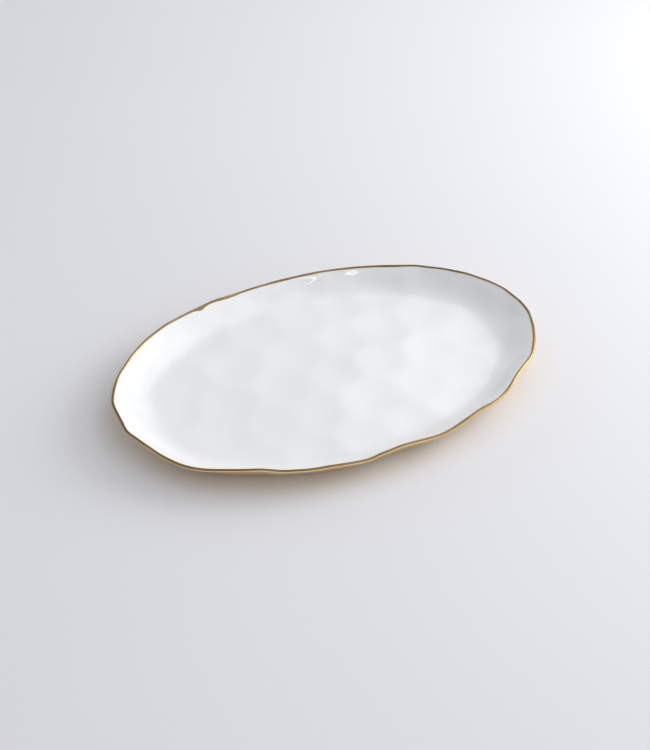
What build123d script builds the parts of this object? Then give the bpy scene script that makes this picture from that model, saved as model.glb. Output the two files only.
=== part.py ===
"""An oval porcelain serving platter with a hammered well, a wavy flared lip and a gold finish.

A fired porcelain shell stands on a bare foot ring.  White glaze covers the serving face, the
outer wall and the base inside the ring.  Gold lies over the glaze on the outer wall and wraps
over the lip as a narrow band.  Every layer is its own solid.  All of them follow one wall
section, grown by the thickness of the layers beneath, so they meet face to face.

Frame: millimetres, +X along the platter, +Y across it, +Z up, origin on the table under its
centre.
"""

from build123d import *
import os
from math import asin, atan2, ceil, cos, degrees, hypot, pi, radians, sin

# Driving sizes
LENGTH = 456.0  # of the oval that the lip follows
WIDTH = 285.0
LIP_HEIGHT = 27.8  # table to the middle of the lip
WELL_THICKNESS = 4.8  # fired porcelain, without glaze
LIP_THICKNESS = 2.0
FULLNESS = 1.6  # extra thickness under the wall, which keeps it thick until it thins down to the lip
GLAZE = 0.35
GOLD = 0.35  # stands in for a film under a micron thick

# The wall that slopes from the flat well up to the lip
WALL_AT_ENDS = 46.0  # seen from above
WALL_AT_SIDES = 29.0
CURVED_SHARE = 0.7  # of the wall, from the well outwards; the rest is straight

# The foot ring stands where the wall starts
FOOT_HEIGHT = 4.0
FOOT_WIDTH = 6.0
FOOT_TAPER = 0.7  # each side, from top to bottom
FOOT_ROUNDING = 0.9

# The gold band on the serving face stops at this share of the way up the wall
BAND_START = 0.97

# Crests and dips of the lip: angle round the oval, then how far it leans out and lifts there
LIP_WAVES = [
    (0, 1.5, 0.5),
    (27, 2.2, 0.7),
    (46, 1.9, 0.8),
    (61, 0.8, 0.2),
    (78, 0.6, 0.1),
    (96, 0.1, -0.4),
    (104, 0.3, 0.0),
    (113, 1.1, 1.6),
    (133, 2.4, 2.3),
    (152, 0.7, 0.3),
    (168, 0.4, 0.1),
    (182, -2.9, 1.3),
    (190, -2.0, 0.9),
    (198, -2.5, 1.7),
    (219, 1.9, -1.5),
    (238, -1.4, 1.0),
    (246, 0.8, -0.7),
    (256, 1.1, -0.8),
    (265, 1.9, -1.8),
    (270, -0.1, 0.1),
    (275, -0.8, 0.7),
    (287, 2.2, -1.8),
    (299, 0.0, 0.3),
    (307, 2.3, -1.0),
    (320, -1.2, 1.9),
    (332, 0.7, 0.3),
    (345, -0.6, 1.0),
    (360, 1.5, 0.5),
]

# Hammer marks in the well: staggered rows of shallow spherical dishes, never quite regular
MARK_PITCH = 56.0
MARK_RADIUS = 24.0
MARK_DEPTH = 0.7
MARK_SCATTER = 3.0  # of each centre off its regular place
ROW_TURN = 2.4  # radians that the scatter turns round by from row to row
COLUMN_TURN = 1.7  # and from mark to mark along a row
MARK_MARGIN = 4.0  # left flat round the edge of the well
MARK_CLEARANCE = 0.1  # how far the pressing cap stands above the face it presses

# Stations on the section.  A station is a share of the way up the wall and the direction its
# skin faces: 0 for the serving face, 90 for the tip of the lip and 180 for the underside.  The
# coats of the two skins meet at 120, just below the tip.
OUTER_WALL = [(share / 10, 180) for share in range(11)]
LIP_BELOW = [(1, 180), (1, 150), (1, 120)]
LIP_ABOVE = [(1, 120), (1, 90), (1, 60), (1, 30), (1, 0)]
BAND = [(1, 0), (BAND_START, 0)]
INNER_WALL = [(BAND_START, 0)] + [(share / 10, 0) for share in range(9, -1, -1)]
FOOT_CORNER = (0, 30, 60, 90)  # directions round the foot ring's rounding

SECTION_POINTS = 96  # round the oval, for each closed curve

SEMI_LENGTH = LENGTH / 2
SEMI_WIDTH = WIDTH / 2
WELL_MIDDLE = FOOT_HEIGHT + WELL_THICKNESS / 2
WELL_TOP = FOOT_HEIGHT + WELL_THICKNESS


def lip_wave(angle):
    """How far the lip leans out and lifts at an angle in radians, eased from crest to dip."""
    turn = degrees(angle) % 360
    for (start, start_out, start_up), (end, end_out, end_up) in zip(LIP_WAVES, LIP_WAVES[1:]):
        if turn <= end:
            ease = (1 - cos(pi * (turn - start) / (end - start))) / 2
            return start_out + (end_out - start_out) * ease, start_up + (end_up - start_up) * ease


def wall_width(angle):
    return WALL_AT_SIDES + (WALL_AT_ENDS - WALL_AT_SIDES) * cos(angle) ** 4


def wall_rise(share):
    """Height and slope at a share of the way up the wall, for a wall that rises by one."""
    scale = 1 / (1 - CURVED_SHARE / 2)
    if share < CURVED_SHARE:
        return scale * share**2 / (2 * CURVED_SHARE), scale * share / CURVED_SHARE
    return scale * (share - CURVED_SHARE / 2), scale


def fullness(share):
    """Extra thickness under the wall: none at the well or the lip, and most two thirds of the way up."""
    return FULLNESS * share**2 * (1 - share) * 27 / 4


def beside_lip(angle, distance, height):
    """A point this far outwards from the lip oval, square to it."""
    normal_x = cos(angle) / SEMI_LENGTH
    normal_y = sin(angle) / SEMI_WIDTH
    reach = distance / hypot(normal_x, normal_y)
    x = SEMI_LENGTH * cos(angle) + reach * normal_x
    y = SEMI_WIDTH * sin(angle) + reach * normal_y
    return Vector(x, y, height)


def wall_point(angle, share, facing, coat):
    """A point of the section at a station, on top of a coat of this thickness."""
    out, up = lip_wave(angle)
    width = wall_width(angle) + out
    rise = LIP_HEIGHT + up - WELL_MIDDLE
    height, slope = wall_rise(share)
    half = (WELL_THICKNESS + (LIP_THICKNESS - WELL_THICKNESS) * share) / 2 + coat
    if facing > 90:
        half += fullness(share)
    direction = atan2(rise * slope, width) + pi / 2 - radians(facing)
    distance = width * share - wall_width(angle) + half * cos(direction)
    return beside_lip(angle, distance, WELL_MIDDLE + rise * height + half * sin(direction))


def foot_point(angle, inset, height):
    """A point of the foot ring, this far inside the start of the wall."""
    return beside_lip(angle, -wall_width(angle) - inset, height)


def closed_curve(point, *place):
    """The closed curve that a point function traces once round the oval."""
    angles = [2 * pi * step / SECTION_POINTS for step in range(SECTION_POINTS)]
    return Wire([Edge.make_spline([point(angle, *place) for angle in angles], periodic=True)])


def skin(stations, coat):
    """The surface through a run of stations."""
    return Shell.make_loft([closed_curve(wall_point, *station, coat) for station in stations]).faces()


def coat_edge(station, inner, outer):
    """The narrow surface where a coat stops."""
    curves = [closed_curve(wall_point, *station, coat) for coat in (inner, outer)]
    return Shell.make_loft(curves, ruled=True).faces()


def well_face(station, coat):
    return Face(closed_curve(wall_point, *station, coat))


def hoop_coat(runs, inner, outer):
    """A coat in the shape of a hoop, over runs of stations that follow one another."""
    faces = coat_edge(runs[0][0], inner, outer) + coat_edge(runs[-1][-1], inner, outer)
    for run in runs:
        faces += skin(run, inner) + skin(run, outer)
    return Solid(Shell(faces))


def mark_centres():
    """Where the hammer marks lie, in rows along the platter and clear of the wall."""
    room = MARK_RADIUS + MARK_MARGIN
    reach_x = SEMI_LENGTH - WALL_AT_ENDS - room
    reach_y = SEMI_WIDTH - WALL_AT_SIDES - room
    row_pitch = MARK_PITCH * sin(pi / 3)
    last_row = ceil(reach_y / row_pitch)
    last_column = ceil(reach_x / MARK_PITCH)
    for row in range(-last_row, last_row + 1):
        for column in range(-last_column, last_column + 1):
            turn = ROW_TURN * row + COLUMN_TURN * column
            x = (column + 0.5 * (row % 2)) * MARK_PITCH + MARK_SCATTER * sin(turn)
            y = row * row_pitch + MARK_SCATTER * cos(turn)
            if hypot(x / reach_x, y / reach_y) <= 1:
                yield x, y


def mark_caps(coat, clearance):
    """A rounded cap for every hammer mark, resting on a coat and standing proud of its face."""
    dish_radius = (MARK_RADIUS**2 + MARK_DEPTH**2) / (2 * MARK_DEPTH)
    cap_radius = dish_radius - coat
    rim = degrees(asin((MARK_DEPTH + clearance - cap_radius) / cap_radius))
    cap = Solid.make_sphere(cap_radius, angle1=-90, angle2=rim)
    height = WELL_TOP - MARK_DEPTH + dish_radius
    return [Pos(x, y, height) * cap for x, y in mark_centres()]


def porcelain_body():
    faces = [well_face(OUTER_WALL[0], 0), well_face(INNER_WALL[-1], 0)]
    for run in (OUTER_WALL, LIP_BELOW, LIP_ABOVE, BAND, INNER_WALL):
        faces += skin(run, 0)
    return Solid(Shell(faces)) - mark_caps(0, MARK_CLEARANCE)


def foot_ring():
    """A tapered ring with rounded bottom corners, flat where it meets the body and the table."""
    corner = [(FOOT_TAPER + FOOT_ROUNDING * (1 - cos(radians(turn))),
               FOOT_ROUNDING * (1 - sin(radians(turn)))) for turn in FOOT_CORNER]
    side_points = [(0, FOOT_HEIGHT)] + corner
    outer_side = [closed_curve(foot_point, inset, height) for inset, height in side_points]
    inner_side = [closed_curve(foot_point, FOOT_WIDTH - inset, height) for inset, height in side_points]
    faces = []
    for side in (outer_side, inner_side):
        faces += Shell.make_loft(side[:2], ruled=True).faces()
        faces += Shell.make_loft(side[1:]).faces()
    faces += [Face(outer_side[end], [inner_side[end]]) for end in (0, -1)]
    return Solid(Shell(faces))


def serving_face_glaze():
    """Glaze from just under the lip inwards, which also lines the hammer marks."""
    faces = coat_edge(LIP_ABOVE[0], 0, GLAZE)
    faces += [well_face(INNER_WALL[-1], coat) for coat in (0, GLAZE)]
    for run in (LIP_ABOVE, BAND, INNER_WALL):
        faces += skin(run, 0) + skin(run, GLAZE)
    return Solid(Shell(faces)) + mark_caps(0, 0) - mark_caps(GLAZE, MARK_CLEARANCE)


def outer_wall_glaze():
    return hoop_coat((OUTER_WALL, LIP_BELOW), 0, GLAZE)


def base_glaze():
    """Glaze on the flat base, inside the foot ring."""
    edge = closed_curve(foot_point, FOOT_WIDTH, FOOT_HEIGHT)
    return extrude(Face(edge), amount=GLAZE, dir=(0, 0, -1))


def gold_wall_coat():
    return hoop_coat((OUTER_WALL, LIP_BELOW), GLAZE, GLAZE + GOLD)


def gold_rim_band():
    return hoop_coat((LIP_ABOVE, BAND), GLAZE, GLAZE + GOLD)


NODES = {
    "porcelain_body": porcelain_body,
    "foot_ring": foot_ring,
    "serving_face_glaze": serving_face_glaze,
    "outer_wall_glaze": outer_wall_glaze,
    "base_glaze": base_glaze,
    "gold_wall_coat": gold_wall_coat,
    "gold_rim_band": gold_rim_band,
}

os.makedirs("parts", exist_ok=True)
for name, build in NODES.items():
    solid = build()
    export_step(solid, f"parts/{name}.step")
    print(name, round(solid.volume), "mm3, valid" if solid.is_valid else "mm3, NOT VALID")
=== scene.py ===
"""The looks of an oval china serving platter with a hammered well, a wavy lip and a gold outer wall.

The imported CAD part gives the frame.  Each of its seven layers is replaced by a finer closed mesh of
nearly the same section, with soft hammer marks all over the inside, a hand-trimmed lip and a
hand-painted gold edge.  Shapes are worked out in millimetres and stored in metres.
"""

import math

import bpy
import numpy as np
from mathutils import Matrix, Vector


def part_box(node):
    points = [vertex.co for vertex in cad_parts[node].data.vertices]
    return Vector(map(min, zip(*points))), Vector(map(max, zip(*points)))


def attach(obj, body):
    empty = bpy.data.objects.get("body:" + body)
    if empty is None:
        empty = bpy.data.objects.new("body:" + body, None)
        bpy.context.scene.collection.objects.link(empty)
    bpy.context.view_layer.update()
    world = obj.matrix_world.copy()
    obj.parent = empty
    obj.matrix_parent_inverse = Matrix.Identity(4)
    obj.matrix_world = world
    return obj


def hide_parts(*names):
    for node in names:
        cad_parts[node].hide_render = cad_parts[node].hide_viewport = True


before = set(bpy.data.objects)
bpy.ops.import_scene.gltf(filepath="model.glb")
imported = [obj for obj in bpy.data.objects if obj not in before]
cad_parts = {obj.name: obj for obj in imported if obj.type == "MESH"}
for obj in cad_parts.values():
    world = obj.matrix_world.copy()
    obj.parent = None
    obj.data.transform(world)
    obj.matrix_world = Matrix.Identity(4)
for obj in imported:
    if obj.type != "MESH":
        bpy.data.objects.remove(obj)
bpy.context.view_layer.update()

MM = 0.001

# ---- Driving sizes, in millimetres ----

# The CAD part has the same ones, apart from EASE, GOLD, LIP_MEETING and the painted band's.

FOOT_LOW, FOOT_HIGH = (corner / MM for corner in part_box("foot_ring"))  # it stands where the wall starts
WALL_AT_ENDS = 46.0
WALL_AT_SIDES = 29.0
SEMI_LENGTH = (FOOT_HIGH.x - FOOT_LOW.x) / 2 + WALL_AT_ENDS
SEMI_WIDTH = (FOOT_HIGH.y - FOOT_LOW.y) / 2 + WALL_AT_SIDES
FOOT_HEIGHT = FOOT_HIGH.z
FOOT_WIDTH = 6.0
FOOT_TAPER = 0.7
FOOT_ROUNDING = 0.9
LIP_HEIGHT = 27.8
WELL_THICKNESS = 4.8
LIP_THICKNESS = 2.0
GLAZE = 0.35
GOLD = 0.25
CURVED_SHARE = 0.7
EASE = 0.15  # share of the wall by which its curve starts inside the well and runs on further up
FULLNESS = 1.6  # extra thickness under the wall, which keeps it thick until it thins down to the lip
LIP_MEETING = 105.0  # degrees over the lip where the coats of the two skins meet; its tip is at 90
BAND_WIDTH = 0.8  # of gold on the serving face, before it wanders
BAND_EDGE = GOLD / 4  # thickness of the gold where the brush stopped
WELL_MIDDLE = FOOT_HEIGHT + WELL_THICKNESS / 2  # heights of the middle and the top of the well
WELL_TOP = FOOT_HEIGHT + WELL_THICKNESS

# Crests and dips of the lip: angle round the oval, then how far it leans out and lifts there
LIP_WAVES = [
    (0, 1.5, 0.5),
    (27, 2.2, 0.7),
    (46, 1.9, 0.8),
    (61, 0.8, 0.2),
    (78, 0.6, 0.1),
    (96, 0.1, -0.4),
    (104, 0.3, 0.0),
    (113, 1.1, 1.6),
    (133, 2.4, 2.3),
    (152, 0.7, 0.3),
    (168, 0.4, 0.1),
    (182, -2.9, 1.3),
    (190, -2.0, 0.9),
    (198, -2.5, 1.7),
    (219, 1.9, -1.5),
    (238, -1.4, 1.0),
    (246, 0.8, -0.7),
    (256, 1.1, -0.8),
    (265, 1.9, -1.8),
    (270, -0.1, 0.1),
    (275, -0.8, 0.7),
    (287, 2.2, -1.8),
    (299, 0.0, 0.3),
    (307, 2.3, -1.0),
    (320, -1.2, 1.9),
    (332, 0.7, 0.3),
    (345, -0.6, 1.0),
    (360, 1.5, 0.5),
]

# Where the brush left the gold band wider: angle round the oval, extra width, and reach in degrees
BAND_BLOBS = [(108, 0.9, 3.0), (116, 2.0, 1.3)]

# The unsteadiness of a hand trim and a hand-held brush: size, waves round the oval and phase
LEAN_WOBBLES = [(0.16, 23, 1.1), (0.10, 41, 4.0)]
LIFT_WOBBLES = [(0.12, 19, 2.6), (0.08, 37, 0.4)]
BAND_WOBBLES = [(0.15, 13, 0.7), (0.12, 31, 2.0)]

# Hammer marks: dishes on a wandering lattice
MARK_ROWS = 5  # each side of the middle
MARK_COLUMNS = 8
MARK_SEED = 11
MARK_PITCH = 56.0
MARK_SCATTER = 9.0
MARK_CURVE = 440.0  # radius of each dish
MARK_CURVE_SPREAD = 90.0
MARK_LEVEL = MARK_PITCH**2 / (12 * MARK_CURVE)  # roughly the mean height of a dish
MARK_OFFSET = 0.15  # some dishes are struck deeper than others
RIDGE_SOFTNESS = 0.4
MARK_FADE = (0.72, 0.97)  # shares of the wall between which the marks fade out below the lip
UNDERSIDE_MARKS = 0.6  # of the depth inside
UNDERSIDE_FADE = (0.0, 0.25)  # shares of the wall between which the marks grow above the foot ring
BASE_MARKS = 0.25  # of the depth inside, where glaze pooled inside the foot ring

# ---- Mesh resolution ----

SHARP_EDGE = 50.0  # degrees between faces above which an edge is shaded as a corner
ROUND = 384  # points round the oval, a multiple of eight
WALL_STEPS = 40
SERVING_LIP_STEPS = 10  # from the serving face over the lip to where the skins meet
OUTER_LIP_STEPS = 6  # and from there down to the outer wall
BAND_STEPS = 4
FOOT_STEPS = 6

ANGLES = np.arange(ROUND) * 2 * np.pi / ROUND


# ---- The section of the platter ----


def wobble(angles, terms):
    """A small irregular wander round the oval."""
    return sum(size * np.sin(count * angles + phase) for size, count, phase in terms)


def lip_wave(angles):
    """How far the lip leans out and lifts, eased from crest to dip, with the wobble of a hand trim."""
    turns = np.degrees(angles) % 360
    stations, outs, ups = np.array(LIP_WAVES).T
    after = np.clip(np.searchsorted(stations, turns, side="right"), 1, len(stations) - 1)
    before = after - 1
    part = (turns - stations[before]) / (stations[after] - stations[before])
    ease = (1 - np.cos(np.pi * part)) / 2
    out = outs[before] + (outs[after] - outs[before]) * ease
    up = ups[before] + (ups[after] - ups[before]) * ease
    return out + wobble(angles, LEAN_WOBBLES), up + wobble(angles, LIFT_WOBBLES)


def wall_width(angles):
    return WALL_AT_SIDES + (WALL_AT_ENDS - WALL_AT_SIDES) * np.cos(angles) ** 4


def wall_rise(share):
    """Height and slope at a share of the way up the wall, for a wall that rises by one.

    The wall is straight above its curve, where its slope eases from none to that of the straight.
    """
    scale = 1 / (1 - CURVED_SHARE / 2)
    length = CURVED_SHARE + 2 * EASE
    part = np.clip((share + EASE) / length, 0, 1)
    straight = np.maximum(share - CURVED_SHARE - EASE, 0)
    height = length * (part**3 - part**4 / 2) + straight
    slope = part * part * (3 - 2 * part)
    return scale * height, scale * slope


def fullness(share):
    """Extra thickness under the wall: none at the well or the lip, and most two thirds of the way up.

    The factor 27 / 4 brings that most to FULLNESS.
    """
    return FULLNESS * share**2 * (1 - share) * 27 / 4


def outward(angles):
    """Unit normals of the lip oval, seen from above."""
    normals = np.stack([np.cos(angles) / SEMI_LENGTH, np.sin(angles) / SEMI_WIDTH], axis=1)
    return normals / np.linalg.norm(normals, axis=1, keepdims=True)


def beside_lip(angles, distance, height):
    """Points this far outwards from the lip oval, square to it."""
    oval = np.stack([SEMI_LENGTH * np.cos(angles), SEMI_WIDTH * np.sin(angles)], axis=1)
    plan = oval + outward(angles) * np.reshape(distance, (-1, 1))
    return np.column_stack([plan, np.broadcast_to(height, len(plan))])


def wall_ring(share, facing, coat, marks=0.0):
    """One closed ring of the section at a station, on top of a coat of this thickness.

    share runs from 0 at the well to 1 at the lip and may differ round the oval.  facing is 0 for
    the serving face, 90 for the tip of the lip and 180 for the underside.  marks scales the depth of
    the hammer marks.
    """
    share = np.broadcast_to(np.asarray(share, dtype=float), ANGLES.shape)
    out, up = lip_wave(ANGLES)
    width = wall_width(ANGLES) + out
    rise = LIP_HEIGHT + up - WELL_MIDDLE
    height, slope = wall_rise(share)
    half = (WELL_THICKNESS + (LIP_THICKNESS - WELL_THICKNESS) * share) / 2 + coat
    if facing > 90:
        half = half + fullness(share)
    if marks:
        unrolled = beside_lip(ANGLES, np.hypot(width * share, rise * height) - wall_width(ANGLES), 0.0)
        fade = 1 - smooth_step(share, *MARK_FADE)
        half = half + marks * fade * hammer_marks(unrolled[:, :2])
    direction = np.arctan2(rise * slope, width) + np.pi / 2 - np.radians(facing)
    distance = width * share - wall_width(ANGLES) + half * np.cos(direction)
    return beside_lip(ANGLES, distance, WELL_MIDDLE + rise * height + half * np.sin(direction))


def smooth_step(values, low, high):
    part = np.clip((values - low) / (high - low), 0, 1)
    return part * part * (3 - 2 * part)


# ---- Hammer marks ----


def mark_lattice():
    """Centres, curves and offsets of the dishes, on staggered rows that wander."""
    rng = np.random.default_rng(MARK_SEED)
    row_pitch = MARK_PITCH * math.sin(math.pi / 3)
    rows = np.arange(-MARK_ROWS, MARK_ROWS + 1)
    columns = np.arange(-MARK_COLUMNS, MARK_COLUMNS + 1)
    row, column = (grid.ravel() for grid in np.meshgrid(rows, columns, indexing="ij"))
    centres = np.stack([(column + 0.5 * (row % 2)) * MARK_PITCH, row * row_pitch], axis=1)
    centres = centres + rng.uniform(-MARK_SCATTER, MARK_SCATTER, centres.shape)
    curves = MARK_CURVE + rng.uniform(-MARK_CURVE_SPREAD, MARK_CURVE_SPREAD, len(centres))
    offsets = rng.uniform(-MARK_OFFSET, MARK_OFFSET, len(centres))
    return centres, curves, offsets


MARK_CENTRES, MARK_CURVES, MARK_OFFSETS = mark_lattice()


def hammer_marks(plan):
    """Height of the hammered surface at plan points: a soft lowest-of-all of shallow bowls.

    Their mean height is taken off, so that the marks leave the surface near its own level.
    """
    squares = ((plan[:, None, :] - MARK_CENTRES[None, :, :]) ** 2).sum(axis=2)
    bowls = squares / (2 * MARK_CURVES) + MARK_OFFSETS
    lowest = bowls.min(axis=1, keepdims=True)
    nearness = np.exp((lowest - bowls) / RIDGE_SOFTNESS).sum(axis=1)
    blended = lowest[:, 0] - RIDGE_SOFTNESS * np.log(nearness)
    return blended - MARK_LEVEL


# ---- Closed meshes from rings ----


def disc_directions():
    """A square grid stretched to a unit disc, whose edge points are evenly spaced round it."""
    side = ROUND // 4
    spread = math.sqrt(2) * np.sin(np.linspace(-np.pi / 4, np.pi / 4, side + 1))
    across, along = np.meshgrid(spread, spread, indexing="ij")
    x = across * np.sqrt(1 - along**2 / 2)
    y = along * np.sqrt(1 - across**2 / 2)
    return x, y


def well_sheet(level, marks, inset=0.0):
    """Grid points of a sheet across the well, which ends where the wall starts or this far inside.

    It lifts a little towards its edge, where the wall's curve begins.  marks scales the depth of the
    hammer marks, and 0 leaves them out.
    """
    x, y = disc_directions()
    radius = np.hypot(x, y).ravel()
    angles = np.arctan2(y, x).ravel()
    edge = beside_lip(angles, -wall_width(angles) - inset, 0.0)[:, :2]
    plan = edge * radius[:, None]
    share = ((radius - 1) * np.linalg.norm(edge, axis=1) - inset) / wall_width(angles)
    rise = LIP_HEIGHT + lip_wave(angles)[1] - WELL_MIDDLE
    height = level + rise * wall_rise(share)[0]
    if marks:
        height = height + marks * hammer_marks(plan)
    return np.column_stack([plan, height])


def sheet_edge_order():
    """Grid indices round the edge of a well sheet, starting at angle 0 and running anticlockwise."""
    side = ROUND // 4
    index = np.arange((side + 1) ** 2).reshape(side + 1, side + 1)
    edge = []
    for line in (index[-1, :], index[::-1, -1], index[0, ::-1], index[:, 0]):
        edge += list(line[:-1])
    start = side // 2
    return edge[start:] + edge[:start]


class Build:
    """Collects rings and sheets of points and joins them into one closed mesh."""

    def __init__(self):
        self.points = []
        self.faces = []
        self.count = 0

    def add(self, points):
        start = self.count
        self.points.append(points)
        self.count += len(points)
        return start

    def ring(self, points):
        start = self.add(points)
        return [start + i for i in range(ROUND)]

    def sheet(self, points, facing_up):
        side = ROUND // 4
        start = self.add(points)
        for i in range(side):
            for j in range(side):
                a = start + i * (side + 1) + j
                quad = (a, a + side + 1, a + side + 2, a + 1)
                self.faces.append(quad if facing_up else quad[::-1])
        return [start + i for i in sheet_edge_order()]

    def bridge(self, lower, upper):
        for i in range(ROUND):
            j = (i + 1) % ROUND
            self.faces.append((lower[i], lower[j], upper[j], upper[i]))

    def bridge_all(self, rings, closed=False):
        pairs = list(zip(rings, rings[1:]))
        if closed:
            pairs.append((rings[-1], rings[0]))
        for lower, upper in pairs:
            self.bridge(lower, upper)

    def finish(self, name, node, material):
        mesh = bpy.data.meshes.new(name)
        mesh.from_pydata(np.concatenate(self.points) * MM, [], self.faces)
        mesh.validate()
        mesh.polygons.foreach_set("use_smooth", [True] * len(mesh.polygons))
        mesh.set_sharp_from_angle(angle=math.radians(SHARP_EDGE))
        mesh.materials.append(material)
        piece = bpy.data.objects.new(name, mesh)
        bpy.context.collection.objects.link(piece)
        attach(piece, "root")
        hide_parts(node)
        return piece


# ---- Pieces ----

WALL_SHARES = np.linspace(0, 1, WALL_STEPS + 1)[1:]
SERVING_TURNS = np.linspace(0, LIP_MEETING, SERVING_LIP_STEPS + 1)[1:]
OUTER_TURNS = np.linspace(180, LIP_MEETING, OUTER_LIP_STEPS + 1)[1:]


def serving_rings(build, coat, to_lip):
    """Rings over the serving side of the wall and lip, from the well out or back in."""
    stations = [(share, 0) for share in WALL_SHARES] + [(1, turn) for turn in SERVING_TURNS]
    if not to_lip:
        stations.reverse()
    return [build.ring(wall_ring(share, facing, coat, 1.0)) for share, facing in stations]


def underside_ring(share, facing, coat):
    return wall_ring(share, facing, coat, UNDERSIDE_MARKS * smooth_step(share, *UNDERSIDE_FADE))


def underside_rings(build, coat, to_lip, from_start=True):
    """Rings over the outer side of the wall and lip, from the foot ring out or back in.

    from_start is false for the body, whose bottom sheet already ends where the wall starts.
    """
    stations = [(share, 180) for share in WALL_SHARES] + [(1, turn) for turn in OUTER_TURNS]
    if from_start:
        stations.insert(0, (0, 180))
    if not to_lip:
        stations.reverse()
    return [build.ring(underside_ring(share, facing, coat)) for share, facing in stations]


def porcelain_body(material):
    build = Build()
    start = build.sheet(well_sheet(FOOT_HEIGHT, 0.0), facing_up=False)
    outside = underside_rings(build, 0, to_lip=True, from_start=False)
    inside = serving_rings(build, 0, to_lip=False)[1:]  # the outside already has the ring they share
    end = build.sheet(well_sheet(WELL_TOP, 1.0), facing_up=True)
    build.bridge_all([start] + outside + inside + [end])
    return build.finish("fired_body", "porcelain_body", material)


def serving_glaze(material):
    build = Build()
    start = build.sheet(well_sheet(WELL_TOP, 1.0), facing_up=False)
    under = serving_rings(build, 0, to_lip=True)
    over = serving_rings(build, GLAZE, to_lip=False)
    end = build.sheet(well_sheet(WELL_TOP + GLAZE, 1.0), facing_up=True)
    build.bridge_all([start] + under + over + [end])
    return build.finish("glazed_serving_face", "serving_face_glaze", material)


def wall_coat(name, node, material, inner, outer):
    """A coat on the outside of the wall, from the foot ring to where it meets the serving side's."""
    build = Build()
    over = underside_rings(build, outer, to_lip=True)
    under = underside_rings(build, inner, to_lip=False)
    build.bridge_all(over + under, closed=True)
    return build.finish(name, node, material)


def band_width():
    """How wide the painted gold band is round the oval, as a hand leaves it."""
    width = BAND_WIDTH + wobble(ANGLES, BAND_WOBBLES)
    for place, extra, reach in BAND_BLOBS:
        width = width + extra * np.exp(-(((np.degrees(ANGLES) - place) / reach) ** 2))
    return width


def band_shares(part):
    """Shares of the wall across the gold band: part runs from 0 at the lip to 1 at the painted edge."""
    out, up = lip_wave(ANGLES)
    slope = wall_rise(1.0)[1]
    slant = np.hypot(wall_width(ANGLES) + out, (LIP_HEIGHT + up - WELL_MIDDLE) * slope)
    return 1 - part * band_width() / slant


def rim_band(material):
    build = Build()
    tip = [(1, turn) for turn in SERVING_TURNS[::-1]]
    band = [(band_shares(part), 0) for part in np.linspace(0, 1, BAND_STEPS + 1)]
    over = [build.ring(wall_ring(share, facing, GLAZE + GOLD)) for share, facing in tip + band[:-1]]
    over.append(build.ring(wall_ring(*band[-1], GLAZE + BAND_EDGE)))
    under = [build.ring(wall_ring(share, facing, GLAZE)) for share, facing in reversed(tip + band)]
    build.bridge_all(over + under, closed=True)
    return build.finish("gold_lip_band", "gold_rim_band", material)


def base_glaze(material):
    build = Build()
    start = build.sheet(well_sheet(FOOT_HEIGHT - GLAZE, BASE_MARKS, FOOT_WIDTH), facing_up=False)
    end = build.sheet(well_sheet(FOOT_HEIGHT, 0.0, FOOT_WIDTH), facing_up=True)
    build.bridge_all([start, end])
    return build.finish("glazed_base", "base_glaze", material)


def foot_ring(material):
    build = Build()
    outer = [(0.0, FOOT_HEIGHT)]
    for turn in np.linspace(0, math.pi / 2, FOOT_STEPS + 1):
        inset = FOOT_TAPER + FOOT_ROUNDING * (1 - math.cos(turn))
        outer.append((inset, FOOT_ROUNDING * (1 - math.sin(turn))))
    section = [(FOOT_WIDTH - inset, height) for inset, height in outer] + outer[::-1]
    start = -wall_width(ANGLES)
    rings = [build.ring(beside_lip(ANGLES, start - inset, height)) for inset, height in section]
    build.bridge_all(rings, closed=True)
    return build.finish("bare_foot_ring", "foot_ring", material)


# ---- Materials ----

NOISE_LOW, NOISE_HIGH = 0.3, 0.7  # what most of a noise texture lies between

# Dark, middle and light tones of the two golds. The gold over the lip is kept far darker than the wall's
# gold as a painted dark reflection of the room along the lip
SPRAYED_COLOURS = [(0.86, 0.60, 0.28), (0.94, 0.68, 0.34), (0.99, 0.77, 0.44)]
LIP_GOLD_PAINTED_DARK_COLOURS = [(0.25, 0.165, 0.068), (0.32, 0.212, 0.09), (0.39, 0.26, 0.112)]


def feed(tree, socket, value):
    """Links a socket to another node's output, or sets it to a constant."""
    if isinstance(value, bpy.types.NodeSocket):
        tree.links.new(value, socket)
    else:
        socket.default_value = value


def add_node(tree, kind, inputs=None, **settings):
    """Adds a shader node, sets its properties and feeds its inputs."""
    node = tree.nodes.new(kind)
    for name, value in settings.items():
        setattr(node, name, value)
    for name, value in (inputs or {}).items():
        feed(tree, node.inputs[name], value)
    return node


def new_material(name):
    material = bpy.data.materials.new(name)
    material.use_nodes = True
    return material, material.node_tree, material.node_tree.nodes["Principled BSDF"]


def maths(tree, operation, *values):
    node = add_node(tree, "ShaderNodeMath", operation=operation)
    for socket, value in zip(node.inputs, values):
        feed(tree, socket, value)
    return node.outputs["Value"]


def noise(tree, vector, scale, detail):
    inputs = {"Vector": vector, "Scale": scale, "Detail": detail}
    return add_node(tree, "ShaderNodeTexNoise", inputs).outputs["Fac"]


def object_coordinates(tree):
    return add_node(tree, "ShaderNodeTexCoord").outputs["Object"]


def ramp(tree, value, stops):
    """Colours at places from 0 to 1, blended along a value."""
    node = add_node(tree, "ShaderNodeValToRGB", {"Fac": value})
    elements = node.color_ramp.elements
    while len(elements) < len(stops):
        elements.new(0.5)
    for element, (place, colour) in zip(elements, stops):
        element.position = place
        element.color = (*colour, 1.0)
    return node.outputs["Color"]


def spread(tree, value, low, high):
    """Maps noise onto a range."""
    inputs = {
        "Value": value,
        "From Min": NOISE_LOW,
        "From Max": NOISE_HIGH,
        "To Min": low,
        "To Max": high,
    }
    return add_node(tree, "ShaderNodeMapRange", inputs).outputs["Result"]


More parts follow.
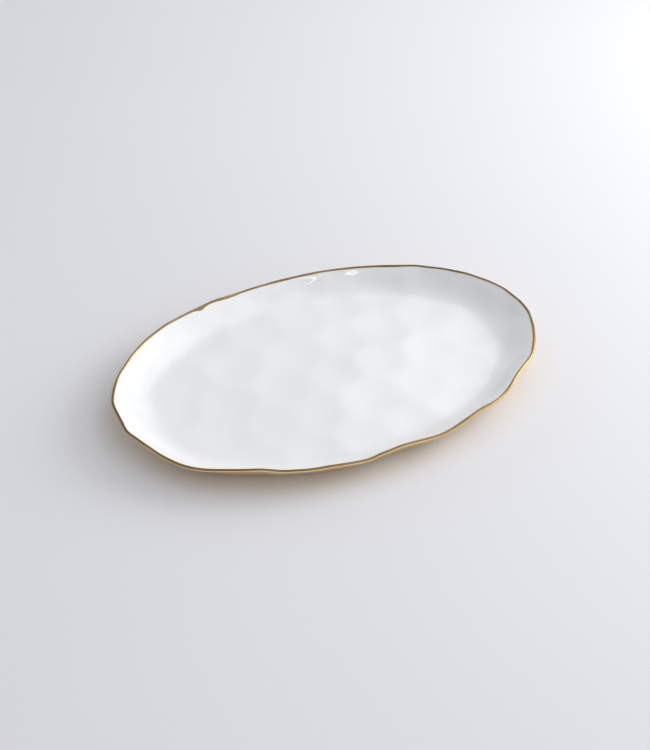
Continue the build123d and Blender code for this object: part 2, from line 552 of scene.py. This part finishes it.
def bump(tree, height, distance):
    """The normal of a surface with fine relief, whose height is distance at the most, in metres."""
    inputs = {"Height": height, "Distance": distance}
    return add_node(tree, "ShaderNodeBump", inputs).outputs["Normal"]


def glaze_material():
    material, tree, shader = new_material("white_glaze")
    place = object_coordinates(tree)
    clouds = noise(tree, place, scale=14.0, detail=3.0)
    peel = noise(tree, place, scale=170.0, detail=2.0)
    colour = ramp(tree, clouds, [(0.35, (0.865, 0.866, 0.866)), (0.65, (0.90, 0.902, 0.905))])
    tree.links.new(colour, shader.inputs["Base Color"])
    tree.links.new(spread(tree, clouds, 0.04, 0.08), shader.inputs["Roughness"])
    tree.links.new(bump(tree, peel, distance=0.00006), shader.inputs["Normal"])
    shader.inputs["IOR"].default_value = 1.5
    return material


def gold_material(name, dark, middle, light):
    material, tree, shader = new_material(name)
    place = object_coordinates(tree)
    clouds = noise(tree, place, scale=30.0, detail=4.0)
    hand = noise(tree, place, scale=240.0, detail=3.0)
    colour = ramp(tree, clouds, [(0.3, dark), (0.5, middle), (0.7, light)])
    tree.links.new(colour, shader.inputs["Base Color"])
    tree.links.new(spread(tree, hand, 0.12, 0.24), shader.inputs["Roughness"])
    tree.links.new(bump(tree, hand, distance=0.00005), shader.inputs["Normal"])
    shader.inputs["Metallic"].default_value = 1.0
    return material


def bare_porcelain_material():
    material, tree, shader = new_material("bare_porcelain")
    place = object_coordinates(tree)
    clouds = noise(tree, place, scale=40.0, detail=4.0)
    grain = noise(tree, place, scale=1500.0, detail=3.0)
    stops = [(0.3, (0.66, 0.61, 0.53)), (0.6, (0.78, 0.74, 0.67)), (0.8, (0.81, 0.78, 0.73))]
    colour = ramp(tree, clouds, stops)
    tree.links.new(colour, shader.inputs["Base Color"])
    tree.links.new(spread(tree, grain, 0.7, 0.95), shader.inputs["Roughness"])
    tree.links.new(bump(tree, grain, distance=0.0001), shader.inputs["Normal"])
    return material


def floor_material():
    material, tree, shader = new_material("pale_floor")
    clouds = noise(tree, object_coordinates(tree), scale=1.5, detail=2.0)
    colour = ramp(tree, clouds, [(0.3, (0.795, 0.797, 0.83)), (0.7, (0.815, 0.817, 0.85))])
    tree.links.new(colour, shader.inputs["Base Color"])
    shader.inputs["Roughness"].default_value = 0.8
    shader.inputs["Specular IOR Level"].default_value = 0.2
    return material


# ---- Floor, light and camera, in metres, degrees and watts ----

FLOOR_SIDE = 8.0
BOX_DISTANCE = 1.7
BOX_CORE = 0.5  # share of the way in from a softbox's edge at which it shines fully
SOFTBOXES = [  # name, azimuth, elevation, size and power
    ("key", 20, 25, (1.4, 1.2), 33.0),
    ("back", 60, 45, (1.4, 1.2), 5.0),
    ("window", 303, 47, (0.5, 0.05), 1.0),
]
ROOM_COLOUR = (0.975, 0.985, 1.0)
CEILING_EDGE = (0.42, 0.66)  # sines of the elevations where the walls give way to the ceiling
CEILING_LEVEL = 0.41
WALL_GLOWS = [(0, 0.85), (50, 0.7), (130, 1.2), (225, 0.45), (305, 0.75)]  # azimuth and strength
WALL_SHARPNESS = 4.0
SIDE_GLOWS = [(0, 1.2), (180, 0.35)]  # higher up, beside the table
SIDE_ELEVATION = 50.0
SIDE_SHARPNESS = 8.0
CAMERA_AZIMUTH = math.radians(-21.8)
CAMERA_ELEVATION = math.radians(42.95)
CAMERA_DISTANCE = 1.309
CAMERA_LENS = 60.0  # millimetres
CAMERA_TARGET = Vector((-0.0055, -0.0013, 0.010))
RIGHT = Vector((math.cos(CAMERA_AZIMUTH), math.sin(CAMERA_AZIMUTH), 0.0))
AWAY = Vector((-math.sin(CAMERA_AZIMUTH), math.cos(CAMERA_AZIMUTH), 0.0))
UP = Vector((0.0, 0.0, 1.0))


def floor(material):
    mesh = bpy.data.meshes.new("floor")
    half = FLOOR_SIDE / 2
    corners = [(-half, -half, 0), (half, -half, 0), (half, half, 0), (-half, half, 0)]
    mesh.from_pydata(corners, [], [(0, 1, 2, 3)])
    mesh.materials.append(material)
    piece = bpy.data.objects.new("floor", mesh)
    bpy.context.collection.objects.link(piece)


def aim(thing, position, target):
    thing.location = position
    thing.rotation_mode = "QUATERNION"
    thing.rotation_quaternion = (Vector(target) - Vector(position)).to_track_quat("-Z", "Y")


def softbox(name, position, size, power):
    """A rectangular light, brightest in the middle and fading towards its edges as a diffuser does."""
    light = bpy.data.lights.new(name, "AREA")
    light.shape = "RECTANGLE"
    light.size, light.size_y = size
    light.energy = power
    light.use_nodes = True
    tree = light.node_tree
    place = add_node(tree, "ShaderNodeTexCoord").outputs["UV"]
    inputs = {"Vector": place, "Location": (-1, -1, 0), "Scale": (2, 2, 1)}
    centred = add_node(tree, "ShaderNodeMapping", inputs).outputs["Vector"]
    fade = add_node(tree, "ShaderNodeTexGradient", {"Vector": centred}, gradient_type="SPHERICAL")
    inputs = {"Value": fade.outputs["Fac"], "From Max": BOX_CORE}
    strength = add_node(tree, "ShaderNodeMapRange", inputs).outputs["Result"]
    tree.links.new(strength, tree.nodes["Emission"].inputs["Strength"])
    thing = bpy.data.objects.new(name, light)
    bpy.context.collection.objects.link(thing)
    aim(thing, position, (0, 0, 0))


def compass(azimuth, elevation):
    """A direction from the platter: azimuth 0 is to the camera's right and 90 straight away from it."""
    turn, rise = math.radians(azimuth), math.radians(elevation)
    return (RIGHT * math.cos(turn) + AWAY * math.sin(turn)) * math.cos(rise) + UP * math.sin(rise)


def glow(tree, direction, azimuth, elevation, sharpness):
    """How brightly a soft glow around one direction shines along each direction, at most 1."""
    facing = add_node(tree, "ShaderNodeVectorMath", operation="DOT_PRODUCT")
    tree.links.new(direction, facing.inputs[0])
    facing.inputs[1].default_value = compass(azimuth, elevation)
    return maths(tree, "POWER", maths(tree, "MAXIMUM", facing.outputs["Value"], 0.0), sharpness)


def world_light():
    """A room with soft glows on its pale walls and beside the table, under a dim ceiling."""
    world = bpy.data.worlds.new("studio")
    world.use_nodes = True
    tree = world.node_tree
    direction = add_node(tree, "ShaderNodeTexCoord").outputs["Generated"]
    upward = add_node(tree, "ShaderNodeSeparateXYZ", {"Vector": direction}).outputs["Z"]
    low, high = CEILING_EDGE
    inputs = {"Value": upward, "From Min": low, "From Max": high}
    ceiling = add_node(tree, "ShaderNodeMapRange", inputs).outputs["Result"]
    walls = 0.0
    for azimuth, strength in WALL_GLOWS:
        wall = glow(tree, direction, azimuth, 0, WALL_SHARPNESS)
        walls = maths(tree, "MULTIPLY_ADD", wall, strength, walls)
    total = maths(tree, "MULTIPLY", walls, maths(tree, "SUBTRACT", 1.0, ceiling))
    total = maths(tree, "MULTIPLY_ADD", ceiling, CEILING_LEVEL, total)
    for azimuth, strength in SIDE_GLOWS:
        side = glow(tree, direction, azimuth, SIDE_ELEVATION, SIDE_SHARPNESS)
        total = maths(tree, "MULTIPLY_ADD", side, strength, total)
    background = tree.nodes["Background"]
    background.inputs["Color"].default_value = (*ROOM_COLOUR, 1.0)
    tree.links.new(total, background.inputs["Strength"])
    bpy.context.scene.world = world


def camera():
    data = bpy.data.cameras.new("camera")
    data.lens = CAMERA_LENS
    thing = bpy.data.objects.new("camera", data)
    bpy.context.collection.objects.link(thing)
    back = UP * math.sin(CAMERA_ELEVATION) - AWAY * math.cos(CAMERA_ELEVATION)
    aim(thing, CAMERA_TARGET + back * CAMERA_DISTANCE, CAMERA_TARGET)
    bpy.context.scene.camera = thing


glaze = glaze_material()
sprayed_gold = gold_material("sprayed_gold", *SPRAYED_COLOURS)
# the lip band's gold, darkened as a painted dark reflection along the top of the lip
lip_gold_painted_dark = gold_material("lip_gold_painted_dark", *LIP_GOLD_PAINTED_DARK_COLOURS)
bare = bare_porcelain_material()
porcelain_body(bare)
serving_glaze(glaze)
wall_coat("glazed_outer_wall", "outer_wall_glaze", glaze, 0, GLAZE)
wall_coat("gold_outer_wall", "gold_wall_coat", sprayed_gold, GLAZE, GLAZE + GOLD)
rim_band(lip_gold_painted_dark)
base_glaze(glaze)
foot_ring(bare)

floor(floor_material())
for name, azimuth, elevation, size, power in SOFTBOXES:
    softbox(name, compass(azimuth, elevation) * BOX_DISTANCE, size, power)
world_light()
camera()
bpy.context.scene.view_settings.view_transform = "Standard"
